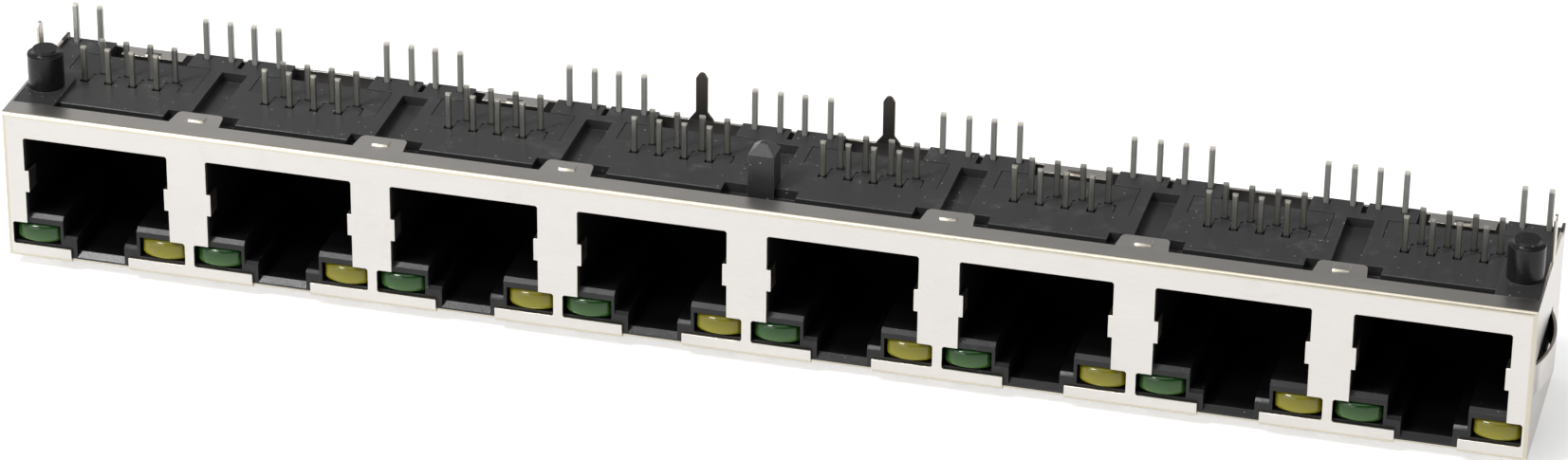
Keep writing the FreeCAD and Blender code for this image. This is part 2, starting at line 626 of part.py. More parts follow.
def build_insert():
    """Carrier of one socket's contacts: a comb-shaped plate with a guide wall under its back."""
    body = new_body("insert_form")
    plate = outline(body, "XY_Plane", "InsertPlan", [comb_outline("insert_gap")], "-mouth_top")
    pad(body, plate, "InsertPlate", "mouth_top - insert_drop")
    wall = box_corners("-guide_width / 2", "guide_width / 2", "guide_front", "guide_front + guide_depth")
    pad(body, outline(body, "XY_Plane", "GuidePlan", [wall], "-guide_bottom"),
        "Guide", "guide_bottom - mouth_top")
    side = "( wire_width / 2 + wire_gap )"
    start = "-( contacts - 1 ) / 2 * contact_pitch"
    across = "( wire_thick / 2 + wire_gap )"
    spot = f"{start} + contact_pitch"
    hole = box_corners(f"{spot} - {side}", f"{spot} + {side}",
                       f"tail_back - {across}", f"tail_back + {across}")
    cut = pocket(body, outline(body, "XY_Plane", "TailHolePlan", [hole]), "TailHole", "mouth_top + sheet")
    repeat(body, cut, "TailHoles", "contacts / 2", "2 * contact_pitch")
    return body


UPRIGHT = Rotation(Vector(1, 1, 1), 120)


def strip(name, corners, width):
    """A flat section in the YZ plane, thickened along X about its own plane."""
    sketch = doc.addObject("Sketcher::SketchObject", f"{name}Section")
    sketch.Placement = FreeCAD.Placement(Vector(), UPRIGHT)
    draw_loop(sketch, corners)
    item = doc.addObject("Part::Extrusion", name)
    item.Base = sketch
    item.DirMode = "Custom"
    item.Dir = Vector(1, 0, 0)
    item.Solid = True
    item.Symmetric = True
    bind(item, LengthFwd=width)
    return item


def contact_section(row):
    """One contact: tail, run under the socket's ceiling, turn at the front and sloping arm."""
    thin = "wire_thick / 2"
    inside = "turn_front + wire_thick"
    return [(f"{row} - {thin}", "tail_top"), (f"{row} + {thin}", "tail_top"),
            (f"{row} + {thin}", f"-run_drop - {thin}"), (inside, f"-run_drop - {thin}"),
            (inside, "-arm_start"), ("arm_tip_y", "-arm_tip_z + wire_thick"),
            ("arm_tip_y", "-arm_tip_z"), ("turn_front", "-arm_start - wire_thick"),
            ("turn_front", f"-run_drop + {thin}"), (f"{row} - {thin}", f"-run_drop + {thin}")]


def build_contacts():
    wires = []
    for index in range(int(value("contacts"))):
        row = "tail_front" if index % 2 == 0 else "tail_back"
        wire = strip(f"Wire{index + 1}", contact_section(row), "wire_width")
        bind(wire, Placement__Base__x=f"( {index} - ( contacts - 1 ) / 2 ) * contact_pitch")
        wires.append(wire)
    return group("contact_form", wires)


def build_leads():
    """The two leads of a lamp: back along the channel, then up through the moulding."""
    half = "lead_size / 2"
    corner = [("lamp_length", f"-lead_z - {half}"), (f"lead_y + {half}", f"-lead_z - {half}"),
              (f"lead_y + {half}", "lead_top"), (f"lead_y - {half}", "lead_top"),
              (f"lead_y - {half}", f"-lead_z + {half}"), ("lamp_length", f"-lead_z + {half}")]
    leads = []
    for number, side in enumerate(("-", "+"), start=1):
        lead = strip(f"Lead{number}", corner, "lead_size")
        bind(lead, Placement__Base__x=f"{side} ( lead_outer - lead_inner ) / 2")
        leads.append(lead)
    return group("lead_form", leads)


def primitive(kind, name, **expressions):
    item = doc.addObject(f"Part::{kind}", name)
    bind(item, **expressions)
    return item


def build_lamp():
    """Rectangular lamp with a bowed front, crest level with the shield's front face."""
    low = "-lead_z - lamp_height / 2"
    rest = primitive("Box", "LampBody", Length="lamp_width", Height="lamp_height",
                     Width="lamp_length - lens_radius", Placement__Base__x="-lamp_width / 2",
                     Placement__Base__y="lens_radius", Placement__Base__z=low)
    nose = primitive("Cylinder", "LampNose", Radius="lens_radius", Height="lamp_height",
                     Placement__Base__y="lens_radius", Placement__Base__z=low)
    limit = primitive("Box", "LampLimit", Length="lamp_width", Height="lamp_height", Width="lamp_length",
                      Placement__Base__x="-lamp_width / 2", Placement__Base__z=low)
    joined = doc.addObject("Part::Fuse", "LampJoined")
    joined.Base, joined.Tool = rest, nose
    lamp = doc.addObject("Part::Common", "lamp_form")
    lamp.Base, lamp.Tool = joined, limit
    return lamp


def group(name, items):
    item = doc.addObject("Part::Compound", name)
    item.Label = name
    item.Links = items
    return item


def seat(item, across="0"):
    """Place a finished piece in the part's frame, whose origin is under the middle of its box."""
    bind(item, Placement__Base__x=across, Placement__Base__y="-shield_depth / 2",
         Placement__Base__z="shield_height + finger_rise")
    return item


def build():
    fill_sheet()
    nodes = [build_housing(), build_front_shield(), build_rear_shield()]
    for body in nodes:
        seat(body)
    insert, contacts, lamp, leads = build_insert(), build_contacts(), build_lamp(), build_leads()
    for index in range(int(value("port_count"))):
        middle = port_x(index)
        copies = (("contact_insert", insert, middle), ("contacts", contacts, middle),
                  ("green_led", lamp, f"{middle} - lamp_x"),
                  ("yellow_led", lamp, f"{middle} + lamp_x"),
                  ("green_led_leads", leads, f"{middle} - {LEADS_X}"),
                  ("yellow_led_leads", leads, f"{middle} + {LEADS_X}"))
        for name, form, across in copies:
            nodes.append(seat(group(f"{name}_{index + 1}", [form]), across))
    doc.recompute()
    return nodes


def check(nodes):
    for item in doc.Objects:
        if {"Invalid", "Error"} & set(item.State):
            raise RuntimeError(f"{item.Label} did not rebuild: {item.State}")
    for node in nodes:
        if node.Shape.isNull() or not node.Shape.isValid() or not node.Shape.Solids:
            raise RuntimeError(f"{node.Label} has no valid solid")


def write(nodes):
    os.makedirs("parts", exist_ok=True)
    for node in nodes:
        node.Shape.exportStep(f"parts/{node.Label}.step")
        print(node.Label, len(node.Shape.Solids), "solids", round(node.Shape.Volume, 3), "mm3")


nodes = build()
check(nodes)
write(nodes)
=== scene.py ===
import math

import bmesh
import bpy
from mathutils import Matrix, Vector


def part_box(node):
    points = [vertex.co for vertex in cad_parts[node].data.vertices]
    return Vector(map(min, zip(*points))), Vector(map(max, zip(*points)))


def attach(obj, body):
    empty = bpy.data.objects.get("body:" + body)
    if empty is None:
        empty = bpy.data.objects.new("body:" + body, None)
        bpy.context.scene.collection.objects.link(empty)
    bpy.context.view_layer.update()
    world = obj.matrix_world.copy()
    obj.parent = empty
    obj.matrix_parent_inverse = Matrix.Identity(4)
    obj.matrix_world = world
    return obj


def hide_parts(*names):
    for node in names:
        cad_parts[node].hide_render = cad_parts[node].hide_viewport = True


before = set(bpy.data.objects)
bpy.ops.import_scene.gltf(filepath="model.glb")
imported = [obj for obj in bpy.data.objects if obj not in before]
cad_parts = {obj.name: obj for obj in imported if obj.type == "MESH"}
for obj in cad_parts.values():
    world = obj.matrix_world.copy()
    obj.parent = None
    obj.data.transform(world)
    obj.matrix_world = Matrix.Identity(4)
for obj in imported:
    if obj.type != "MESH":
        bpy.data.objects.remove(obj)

bl_info = {
    "name": "Ganged board jack",
    "version": (1, 0, 0),
    "blender": (4, 5, 0),
    "location": "View3D > Sidebar > Board jack",
    "description": "Finishes, wires, lamps and studio for a row of shielded sockets",
    "category": "Object",
}

MM = 0.001
PORTS = 8
WIRES_IN_ROW = 4
LEADS_OF_LAMP = 2
ROOT = "root"

# Attributes of the meshes that the materials read. The edge mask is 1 on a rounded edge, SHEARED
# on a face cut through the sheet and 0 elsewhere.
EDGE = "edge_mask"
SHEARED = 0.5
# On a lamp, the share of its front that takes a painted reflection of the white floor.
PAINTED_REFLECTION = "painted_reflection_share"

# What counts as one point, as one level, as flat and as sharp.
WELD = 0.001 * MM
LEVEL = 0.01 * MM
FLAT = math.radians(0.5)
SHARP = math.radians(35.0)
SHARP_ON_WIRE = math.radians(40.0)
SHARP_ON_LAMP = math.radians(50.0)

# Where the forms of the housing lie. The carriers end CARRIER_DROP below its board side. Above
# PEG_FOOT and further than PEG_REACH from the middle of the row is a round peg. Below SKIN and
# further back than RIM is a socket. Below SLOT_BEVEL a slanted face is the bevel of a latch slot.
CARRIER_DROP = 0.04 * MM
PEG_FOOT = 0.35 * MM
PEG_REACH = 50.0 * MM
SKIN = 1.7 * MM
RIM = 0.5 * MM
SLOT_BEVEL = 11.2 * MM

# Places of the housing's finishes in its piece's list of materials; the shaded one is a darker
# black painted on the sockets' walls as shade.
BLACK, SMOOTH, SHADED = range(3)

# From the tips of the ground blades down to the rear shield.
BLADE = 4.1 * MM

# From the tips of the tails down to where the second plating begins and where it shows alone.
PLATING_BEGINS = 5.0 * MM
PLATING_ALONE = 7.0 * MM

# How deep the grain of plastic and of metal is drawn.
PLASTIC_GRAIN = 0.03 * MM
METAL_GRAIN = 0.02 * MM

WHITE = (1.0, 1.0, 1.0, 1.0)
DUST = (0.5, 0.5, 0.48, 1.0)
CUT_TIP = (0.93, 0.90, 0.80, 1.0)

# The room: the height of a direction over which the white horizon turns into ceiling, the
# sideways direction over which the ceiling goes from lit to dim, and how bright those two are.
HORIZON = (0.12, 0.4)
CEILING = (-0.35, -0.1)
LIT, DIM = 1.15, 0.5

# Soft lamps: name, place, side in metres and power in watts.
LAMPS = (
    ("Overhead softbox", (-0.1, -0.1, 0.75), 0.7, 2.0),
    ("Front fill", (-0.5, -0.8, 0.35), 0.6, 1.8),
    ("Left key", (-0.44, -0.44, 0.78), 0.22, 4.6),
)

FLOOR_HALF = 1.5
SENSOR = 36.0
NEAREST, FURTHEST = 0.01, 20.0


def colour(name, description, default):
    return bpy.props.FloatVectorProperty(name=name, description=description, subtype="COLOR",
                                         size=3, min=0.0, max=1.0, default=default)


def length(name, description, millimetres):
    return bpy.props.FloatProperty(name=name, description=description, unit="LENGTH",
                                   precision=5, min=0.0, default=millimetres * MM)


def factor(name, description, default):
    return bpy.props.FloatProperty(name=name, description=description, subtype="FACTOR",
                                   min=0.0, max=1.0, default=default)


class JackFinishes(bpy.types.PropertyGroup):
    """Colours of the plastics, the sheet metal, the wires and the lamps, with painted shade for
    the sockets and a painted reflection on the lamps
    """
    moulding: colour("Moulding", "Black of the moulded housing", (0.037, 0.037, 0.038))
    peg: colour("Peg", "Smoother black of the round pegs and the latch slots' bevels",
                (0.010, 0.010, 0.011))
    # Painted shade: the sockets' walls take this darker copy of the moulding's black.
    hollow: colour("Socket walls, painted shade", "Shaded black inside the sockets", (0.016, 0.016, 0.017))
    carrier: colour("Carrier", "Dark grey of the contact carriers", (0.038, 0.038, 0.039))
    shield: colour("Shield", "Plated sheet metal", (0.72, 0.692, 0.66))
    blade: colour("Blade", "Darkened plating of the ground blades", (0.165, 0.152, 0.138))
    tin: colour("Tin", "Tinned tails of the contacts", (0.38, 0.375, 0.345))
    lead: colour("Lead", "Tinned leads of the lamps", (0.425, 0.42, 0.395))
    gold: colour("Gold", "Plated spring arms of the contacts", (0.83, 0.62, 0.27))
    green: colour("Green lamp", "Deep green of the epoxy", (0.004, 0.036, 0.003))
    # The pale colours are a painted reflection of the white floor at the foot of the lamps'
    # fronts.
    green_reflection: colour("Green painted reflection", "Green epoxy at the foot of its front", (0.046, 0.122, 0.026))
    yellow: colour("Yellow lamp", "Deep yellow of the epoxy", (0.15, 0.132, 0.006))
    yellow_reflection: colour("Yellow painted reflection", "Yellow epoxy at the foot of its front",
                        (0.275, 0.25, 0.014))


class JackWires(bpy.types.PropertyGroup):
    """Sizes of the contact wires and of the lamps' leads"""
    pitch: length("Pitch", "From one contact to the next", 1.016)
    wire_width: length("Wire width", "Contact wire along the row", 0.46)
    wire_thickness: length("Wire thickness", "Contact wire the other way", 0.3)
    wire_bend: length("Wire bend", "Radius of a wire's middle line in its bends", 0.25)
    wire_edge: length("Wire edge", "Rounding along a wire", 0.05)
    row_front: length("Front row", "Front tails behind the wires' turn", 5.1)
    row_back: length("Back row", "Back tails behind the wires' turn", 6.7)
    run_drop: length("Run", "Wires' forward run below the tips of the tails", 5.05)
    arm_drop: length("Arm", "Start of the spring arm below the tips of the tails", 5.85)
    lead_size: length("Lead size", "Square lamp lead", 0.45)
    lead_bend: length("Lead bend", "Radius of a lead's middle line in its bend", 0.4)
    lead_edge: length("Lead edge", "Rounding along a lead", 0.06)


class JackEdges(bpy.types.PropertyGroup):
    """Radii of the broken edges"""
    moulding: length("Moulding edge", "Edge radius of the housing", 0.07)
    carrier: length("Carrier edge", "Edge radius of the contact carriers", 0.05)
    sheet: length("Sheet edge", "Edge radius of the sheet metal", 0.03)
    sheared: length("Sheared edge", "Widest face taken for a cut through the sheet", 0.3)
    peg_chamfer: length("Peg chamfer", "Chamfer of the round pegs as drawn", 0.75)
    peg_change: length("Peg change", "How much of that chamfer the photo does not show", 0.3)
    lamp: length("Lamp edge", "Edge radius of the lamps", 0.42)
    lamp_bow: length("Lamp bow", "Radius of a lamp's bowed front", 3.0)


class JackStudio(bpy.types.PropertyGroup):
    """Camera, lamps and background"""
    lens: bpy.props.FloatProperty(name="Lens", description="Focal length on a 36 mm sensor",
                                  unit="CAMERA", min=10.0, default=134.84)
    place: bpy.props.FloatVectorProperty(
        name="Camera place", description="Where the camera stands", subtype="TRANSLATION",
        unit="LENGTH", size=3, precision=5, default=(0.10088, -0.39322, 0.22535))
    turn: bpy.props.FloatVectorProperty(
        name="Camera turn", description="The camera's rotation", subtype="EULER", size=3,
        default=tuple(math.radians(angle) for angle in (61.849, -0.5987, 14.5635)))
    ceiling: factor("Ceiling", "Grey of the room above the white horizon", 0.34)
    floor: factor("Floor", "White of the floor", 0.9)
    floor_glow: factor("Floor glow", "Light that the floor adds for the camera", 0.42)
    floor_gleam: factor("Floor gleam", "Light that the floor adds for reflections", 0.3)


def group_of(name, kind, inputs, outputs):
    """An empty node tree with its sockets, each given as label, type and default."""
    tree = bpy.data.node_groups.new(name, kind)
    for side, sockets in (("INPUT", inputs), ("OUTPUT", outputs)):
        for label, socket, default in sockets:
            made = tree.interface.new_socket(label, in_out=side, socket_type=f"NodeSocket{socket}")
            if default is not None:
                made.default_value = default
    return tree, tree.nodes.new("NodeGroupInput"), tree.nodes.new("NodeGroupOutput")


def add(tree, kind, settings=None, **sockets):
    """A node with its settings and with its sockets set or linked, by name or by number."""
    node = tree.nodes.new(kind)
    for name, setting in (settings or {}).items():
        setattr(node, name, setting)
    for name, source in sockets.items():
        name = name.replace("_", " ")
        socket = node.inputs[int(name[1:])] if name[1:].isdigit() else node.inputs[name]
        if isinstance(source, bpy.types.NodeSocket):
            tree.links.new(source, socket)
        else:
            socket.default_value = source
    return node


def maths(tree, operation, first, second=0.5, third=0.0, clamp=False):
    settings = {"operation": operation, "use_clamp": clamp}
    return add(tree, "ShaderNodeMath", settings, i0=first, i1=second, i2=third).outputs[0]


def blend(tree, share, first, second):
    """The first colour where the share is 0 and the second where it is 1."""
    node = add(tree, "ShaderNodeMix", {"data_type": "RGBA"}, i0=share, i6=first, i7=second)
    return node.outputs[2]


def ramp(tree, value, start, end, first=0.0, last=1.0):
    """The first number up to the start and the last from the end on, straight in between."""
    return add(tree, "ShaderNodeMapRange", Value=value, From_Min=start, From_Max=end,
               To_Min=first, To_Max=last).outputs[0]


def attribute(tree, name):
    return add(tree, "ShaderNodeAttribute", {"attribute_name": name}).outputs["Fac"]


def grain_group():
    """Fine grain: a mask of fine and broad noise, and the fine noise alone as a height."""
    broad_scale, broad_share = 0.09, 0.45
    tree, enter, leave = group_of(
        "Fine grain", "ShaderNodeTree",
        [("Vector", "Vector", None), ("Scale", "Float", 9000.0), ("Stretch", "Vector", (1, 1, 1))],
        [("Mask", "Float", None), ("Height", "Float", None)])
    stretched = add(tree, "ShaderNodeVectorMath", {"operation": "MULTIPLY"},
                    i0=enter.outputs["Vector"], i1=enter.outputs["Stretch"]).outputs[0]
    fine = add(tree, "ShaderNodeTexNoise", Vector=stretched, Scale=enter.outputs["Scale"],
               Detail=3.0, Roughness=0.6).outputs[0]
    scale = maths(tree, "MULTIPLY", enter.outputs["Scale"], broad_scale)
    broad = add(tree, "ShaderNodeTexNoise", Vector=stretched, Scale=scale, Detail=4.0).outputs[0]
    fine_part = maths(tree, "MULTIPLY", fine, 1.0 - broad_share)
    mask = maths(tree, "MULTIPLY_ADD", broad, broad_share, fine_part)
    tree.links.new(mask, leave.inputs["Mask"])
    tree.links.new(fine, leave.inputs["Height"])
    return tree


def marks_group():
    """Handling marks: soft patches of scuffing, strongest along the fine lines in them."""
    line_scale, line_width, line_share = 2.5, 0.06, 0.6
    tree, enter, leave = group_of(
        "Handling marks", "ShaderNodeTree",
        [("Vector", "Vector", None), ("Scale", "Float", 400.0), ("Amount", "Float", 0.5)],
        [("Mask", "Float", None)])
    noise = add(tree, "ShaderNodeTexNoise", Vector=enter.outputs["Vector"],
                Scale=enter.outputs["Scale"], Detail=5.0, Roughness=0.7).outputs[0]
    patch = ramp(tree, noise, 0.55, 0.72)
    cracks = add(tree, "ShaderNodeTexVoronoi", {"feature": "DISTANCE_TO_EDGE"},
                 Vector=enter.outputs["Vector"],
                 Scale=maths(tree, "MULTIPLY", enter.outputs["Scale"], line_scale)).outputs[0]
    line = ramp(tree, cracks, 0.0, line_width, 1.0, 0.0)
    strength = maths(tree, "MULTIPLY_ADD", line, line_share, 1.0 - line_share)
    mask = maths(tree, "MULTIPLY", patch, strength)
    amount = maths(tree, "MULTIPLY", mask, enter.outputs["Amount"], clamp=True)
    tree.links.new(amount, leave.inputs["Mask"])
    return tree


def edge_group():
    """Wear on broken edges, thinned by noise so that it comes and goes along them."""
    thinnest = 0.35
    tree, enter, leave = group_of(
        "Edge wear", "ShaderNodeTree",
        [("Vector", "Vector", None), ("Edge", "Float", 0.0), ("Scale", "Float", 900.0),
         ("Amount", "Float", 0.6)],
        [("Mask", "Float", None)])
    noise = add(tree, "ShaderNodeTexNoise", Vector=enter.outputs["Vector"],
                Scale=enter.outputs["Scale"], Detail=3.0).outputs[0]
    patchy = ramp(tree, noise, 0.35, 0.6, thinnest, 1.0)
    worn = maths(tree, "MULTIPLY", enter.outputs["Edge"], patchy)
    amount = maths(tree, "MULTIPLY", worn, enter.outputs["Amount"], clamp=True)
    tree.links.new(amount, leave.inputs["Mask"])
    return tree


def dust_group():
    """Pale specks of dust, each in a cell of its own, with many cells left clean."""
    clean_cells, palest = 0.4, 0.9
    tree, enter, leave = group_of(
        "Dust specks", "ShaderNodeTree",
        [("Vector", "Vector", None), ("Scale", "Float", 1300.0), ("Size", "Float", 0.1)],
        [("Mask", "Float", None)])
    cell = add(tree, "ShaderNodeTexVoronoi", Vector=enter.outputs["Vector"],
               Scale=enter.outputs["Scale"])
    near = maths(tree, "LESS_THAN", cell.outputs["Distance"], enter.outputs["Size"])
    draw = add(tree, "ShaderNodeSeparateColor", Color=cell.outputs["Color"]).outputs["Red"]
    strength = ramp(tree, draw, clean_cells, 1.0, 0.0, palest)
    tree.links.new(maths(tree, "MULTIPLY", near, strength), leave.inputs["Mask"])
    return tree


def bent_wires():
    """Wires along routes: bent round at the corners, given a section and repeated in a row."""
    tree, enter, leave = group_of(
        "Bent wires", "GeometryNodeTree",
        [("Routes", "Geometry", None), ("Width", "Float", 0.46 * MM),
         ("Thickness", "Float", 0.3 * MM), ("Edge", "Float", 0.05 * MM),
         ("Bend", "Float", 0.25 * MM), ("Bend Steps", "Int", 4), ("Count", "Int", 1),
         ("Step", "Float", 2.0 * MM), ("Finish", "Material", None)],
        [("Wires", "Geometry", None)])
    given = enter.outputs
    line = add(tree, "GeometryNodeMeshToCurve", Mesh=given["Routes"]).outputs[0]
    bent = add(tree, "GeometryNodeFilletCurve", {"mode": "POLY"}, Curve=line,
               Count=given["Bend Steps"], Radius=given["Bend"], Limit_Radius=True).outputs[0]
    level = add(tree, "GeometryNodeSetCurveNormal", {"mode": "FREE"}, Curve=bent,
                Normal=(1.0, 0.0, 0.0)).outputs[0]
    block = add(tree, "GeometryNodeCurvePrimitiveQuadrilateral", i0=given["Width"],
                i1=given["Thickness"]).outputs[0]
    section = add(tree, "GeometryNodeFilletCurve", {"mode": "POLY"}, Curve=block, Count=1,
                  Radius=given["Edge"]).outputs[0]
    wire = add(tree, "GeometryNodeCurveToMesh", Curve=level, Profile_Curve=section,
               Fill_Caps=True).outputs[0]
    stride = add(tree, "ShaderNodeCombineXYZ", X=given["Step"]).outputs[0]
    row = add(tree, "GeometryNodeMeshLine", {"mode": "OFFSET"}, Count=given["Count"],
              Offset=stride).outputs[0]
    wires = add(tree, "GeometryNodeInstanceOnPoints", Points=row, Instance=wire).outputs[0]
    real = add(tree, "GeometryNodeRealizeInstances", Geometry=wires).outputs[0]
    dressed = add(tree, "GeometryNodeSetMaterial", Geometry=real,
                  Material=given["Finish"]).outputs[0]
    tree.links.new(dressed, leave.inputs["Wires"])
    return tree


GROUPS = {"Fine grain": grain_group, "Handling marks": marks_group, "Edge wear": edge_group,
          "Dust specks": dust_group, "Bent wires": bent_wires}


def shared(name):
    """A node group that several materials or pieces use, built the first time it is asked for."""
    return bpy.data.node_groups.get(name) or GROUPS[name]()


def use(tree, name, **sockets):
    return add(tree, "ShaderNodeGroup", {"node_tree": shared(name)}, **sockets)


def new_finish(name):
    """A material with its tree, its shader and the place on the object."""
    material = bpy.data.materials.new(name)
    material.use_nodes = True
    tree = material.node_tree
    shader = tree.nodes["Principled BSDF"]
    spot = add(tree, "ShaderNodeTexCoord").outputs["Object"]
    return material, tree, shader, spot


def bump(tree, shader, height, strength, depth):
    node = add(tree, "ShaderNodeBump", Height=height, Strength=strength, Distance=depth)
    tree.links.new(node.outputs[0], shader.inputs["Normal"])


def rgba(values, scale=1.0):
    return tuple(min(1.0, value * scale) for value in values) + (1.0,)


def tinted(values, tint):
    return tuple(value * share for value, share in zip(values, tint))


def handled(tree, spot, base, grain, scuffs, tones, stretch=(1.0, 1.0, 1.0)):
    """Grain and handling marks on a base colour: the grain's node, the tone and the marks' mask.

    scuffs holds the scale and the amount of the marks. tones holds what the base colour is
    multiplied by in the grain's hollows, on its crests and in the marks.
    """
    hollow, crest, scuff = tones
    grained = use(tree, "Fine grain", Vector=spot, Scale=grain, Stretch=stretch)
    marks = use(tree, "Handling marks", Vector=spot, Scale=scuffs[0], Amount=scuffs[1])
    scuffed = marks.outputs["Mask"]
    tone = blend(tree, grained.outputs["Mask"], rgba(base, hollow), rgba(base, crest))
    return grained, blend(tree, scuffed, tone, rgba(base, scuff)), scuffed


def satin(tree, grained, roughness, finer=0.08, coarser=0.1):
    """Roughness that follows the grain, from a little below a value to a little above it."""
    return ramp(tree, grained.outputs["Mask"], 0.0, 1.0, roughness - finer, roughness + coarser)


def clear_of_painted_shade(tree, spot, front, board):
    """How much of its own tone the moulding shows, the rest being painted shade: all of it on the
    board side, some in the sockets' mouths, and none deep in the sockets and in the groove behind
    the flange."""
    mouth_share, mouth_end = 0.42, 1.6 * MM
    parts = add(tree, "ShaderNodeSeparateXYZ", Vector=spot).outputs
    mouth = ramp(tree, parts["Y"], front, front + mouth_end, mouth_share, 0.0)
    above = ramp(tree, parts["Z"], board - 2.0 * MM, board - 1.6 * MM)
    before = ramp(tree, parts["Y"], front + 3.14 * MM, front + 3.2 * MM, 1.0, 0.0)
    sunk = ramp(tree, parts["Z"], board - 0.07 * MM, board - 0.02 * MM, 1.0, 0.0)
    groove = maths(tree, "MULTIPLY", maths(tree, "MULTIPLY", before, sunk), above)
    unshaded = maths(tree, "MAXIMUM", mouth, above)
    return maths(tree, "MULTIPLY", unshaded, maths(tree, "SUBTRACT", 1.0, groove))


def plastic(name, base, roughness, grain, worn, front, board, gloss=0.3):
    """A moulded plastic: grain, scuffs, dust and paler broken edges, with painted shade in the
    sockets and in the groove behind the flange.
    """
    pale_edge, socket_shade = 4.5, 0.06
    material, tree, shader, spot = new_finish(name)
    shader.inputs["Specular IOR Level"].default_value = gloss
    grained, tone, _ = handled(tree, spot, base, grain, scuffs=(380.0, 0.85),
                               tones=(0.72, 1.3, 3.4))
    rubbed = use(tree, "Edge wear", Vector=spot, Edge=attribute(tree, EDGE), Scale=900.0,
                 Amount=worn).outputs["Mask"]
    tone = blend(tree, rubbed, tone, rgba(base, pale_edge))
    specks = use(tree, "Dust specks", Vector=spot, Scale=1500.0, Size=0.09).outputs["Mask"]
    tone = blend(tree, specks, tone, DUST)
    # Painted shade: deep in the sockets and in the groove behind the flange the base colour is
    # darkened to socket_shade of itself, and partly so in the sockets' mouths.
    unshaded = clear_of_painted_shade(tree, spot, front, board)
    tone = blend(tree, unshaded, rgba(base, socket_shade), tone)
    tree.links.new(tone, shader.inputs["Base Color"])
    matt_inside = ramp(tree, unshaded, 0.15, 0.3, 0.5, 0.0)
    rough = maths(tree, "ADD", satin(tree, grained, roughness), matt_inside, clamp=True)
    tree.links.new(rough, shader.inputs["Roughness"])
    bump(tree, shader, grained.outputs["Height"], 0.35, PLASTIC_GRAIN)
    return material


def sheet_metal(name, base, roughness):
    """Thin plated sheet: satin grain along the strip, soft waves, scuffs and warm cut edges."""
    cut_tint, rubbed_tint, rubbed_gain = (0.86, 0.83, 0.72), (1.0, 0.99, 0.95), 1.2
    scuffed_roughness, wave_height = 0.15, 6.0
    material, tree, shader, spot = new_finish(name)
    shader.inputs["Metallic"].default_value = 1.0
    grained, tone, scuffed = handled(tree, spot, base, 5200.0, scuffs=(240.0, 0.5),
                                     tones=(0.9, 1.06, 0.8), stretch=(0.22, 1.0, 1.0))
    edge = attribute(tree, EDGE)
    tone = blend(tree, ramp(tree, edge, 0.0, SHEARED), tone, rgba(tinted(base, cut_tint)))
    rubbed = use(tree, "Edge wear", Vector=spot, Edge=ramp(tree, edge, SHEARED, 1.0),
                 Scale=700.0, Amount=0.8).outputs["Mask"]
    tone = blend(tree, rubbed, tone, rgba(tinted(base, rubbed_tint), rubbed_gain))
    tree.links.new(tone, shader.inputs["Base Color"])
    rough = maths(tree, "MULTIPLY_ADD", scuffed, scuffed_roughness,
                  satin(tree, grained, roughness))
    tree.links.new(rough, shader.inputs["Roughness"])
    waves = add(tree, "ShaderNodeTexNoise", Vector=spot, Scale=220.0, Detail=3.0).outputs[0]
    height = maths(tree, "MULTIPLY_ADD", waves, wave_height, grained.outputs["Height"])
    bump(tree, shader, height, 0.25, METAL_GRAIN)
    return material


def wire_metal(name, base, tips, metal=1.0, arms=None):
    """Plated wire with drawn streaks and bright cut tips.

    arms holds the colour of a second plating, the level up to which it shows alone and the
    level where it begins.
    """
    material, tree, shader, spot = new_finish(name)
    shader.inputs["Metallic"].default_value = metal
    grained, tone, _ = handled(tree, spot, base, 7000.0, scuffs=(900.0, 0.6),
                               tones=(0.35, 1.6, 0.6), stretch=(1.0, 1.0, 0.06))
    level = add(tree, "ShaderNodeSeparateXYZ", Vector=spot).outputs["Z"]
    if arms:
        plating, alone, begins = arms
        tone = blend(tree, ramp(tree, level, alone, begins), rgba(plating), tone)
    cut = ramp(tree, level, tips - 0.22 * MM, tips - 0.1 * MM)
    tree.links.new(blend(tree, cut, tone, CUT_TIP), shader.inputs["Base Color"])
    rough = ramp(tree, grained.outputs["Mask"], 0.0, 1.0, 0.24, 0.42)
    tree.links.new(rough, shader.inputs["Roughness"])
    bump(tree, shader, grained.outputs["Height"], 0.2, METAL_GRAIN)
    return material


def epoxy(name, base, pale):
    """Tinted lamp body: deep colour along its top, paler towards the foot of its front with a
    painted reflection of the white floor.
    """
    material, tree, shader, spot = new_finish(name)
    shader.inputs["IOR"].default_value = 1.54
    shader.inputs["Specular IOR Level"].default_value = 0.42
    cloud = use(tree, "Fine grain", Vector=spot, Scale=1400.0)
    cloudy = ramp(tree, cloud.outputs["Mask"], 0.0, 1.0, 0.9, 1.1)
    # Painted reflection of the white floor: the front pales towards its foot.
    share = maths(tree, "MULTIPLY", attribute(tree, PAINTED_REFLECTION), cloudy, clamp=True)
    tree.links.new(blend(tree, share, rgba(base), rgba(pale)), shader.inputs["Base Color"])
    rough = ramp(tree, cloud.outputs["Mask"], 0.0, 1.0, 0.02, 0.1)
    tree.links.new(rough, shader.inputs["Roughness"])
    bump(tree, shader, cloud.outputs["Height"], 0.05, METAL_GRAIN)
    return material


